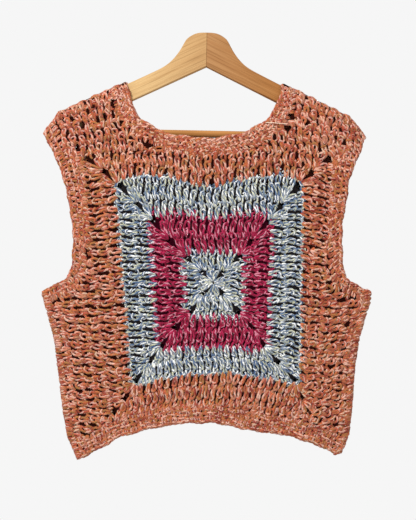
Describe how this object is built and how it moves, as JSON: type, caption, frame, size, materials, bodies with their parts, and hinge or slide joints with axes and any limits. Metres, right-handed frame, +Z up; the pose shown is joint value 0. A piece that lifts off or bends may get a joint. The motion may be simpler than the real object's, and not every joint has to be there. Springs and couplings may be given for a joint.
{
  "type": "crochet vest on a wooden hanger",
  "caption": "Sleeveless cropped crochet vest worked as a square in rounds on each panel, with edged neck, armholes and hem, hanging on a wooden hanger with a bar.",
  "frame": {"origin": "top of the hanger's head, in the middle, where the whole hangs", "axes": "+X to the right seen from the front, the front faces -Y, +Z up"},
  "size_m": [0.4628, 0.0397, 0.5957],
  "materials": {
    "blue_marl_yarn": "matte marled yarn of grey blue and cream",
    "crimson_marl_yarn": "matte marled yarn of crimson and mauve",
    "coral_marl_yarn": "matte marled yarn of coral, pale pink, orange and olive",
    "light_wood": "satin",
    "dark_wood": "satin"
  },
  "bodies": {
    "root": {"front_centre_square": "blue_marl_yarn", "front_crimson_frame": "crimson_marl_yarn", "front_blue_frame": "blue_marl_yarn", "front_coral_body": "coral_marl_yarn", "back_centre_square": "blue_marl_yarn", "back_crimson_frame": "crimson_marl_yarn", "back_blue_frame": "blue_marl_yarn", "back_coral_body": "coral_marl_yarn", "neck_edging": "coral_marl_yarn", "left_armhole_edging": "coral_marl_yarn", "right_armhole_edging": "coral_marl_yarn", "hem_edging": "coral_marl_yarn", "hanger_left_arm": "light_wood", "hanger_right_arm": "dark_wood", "hanger_bar": "light_wood"}
  },
  "joints": []
}
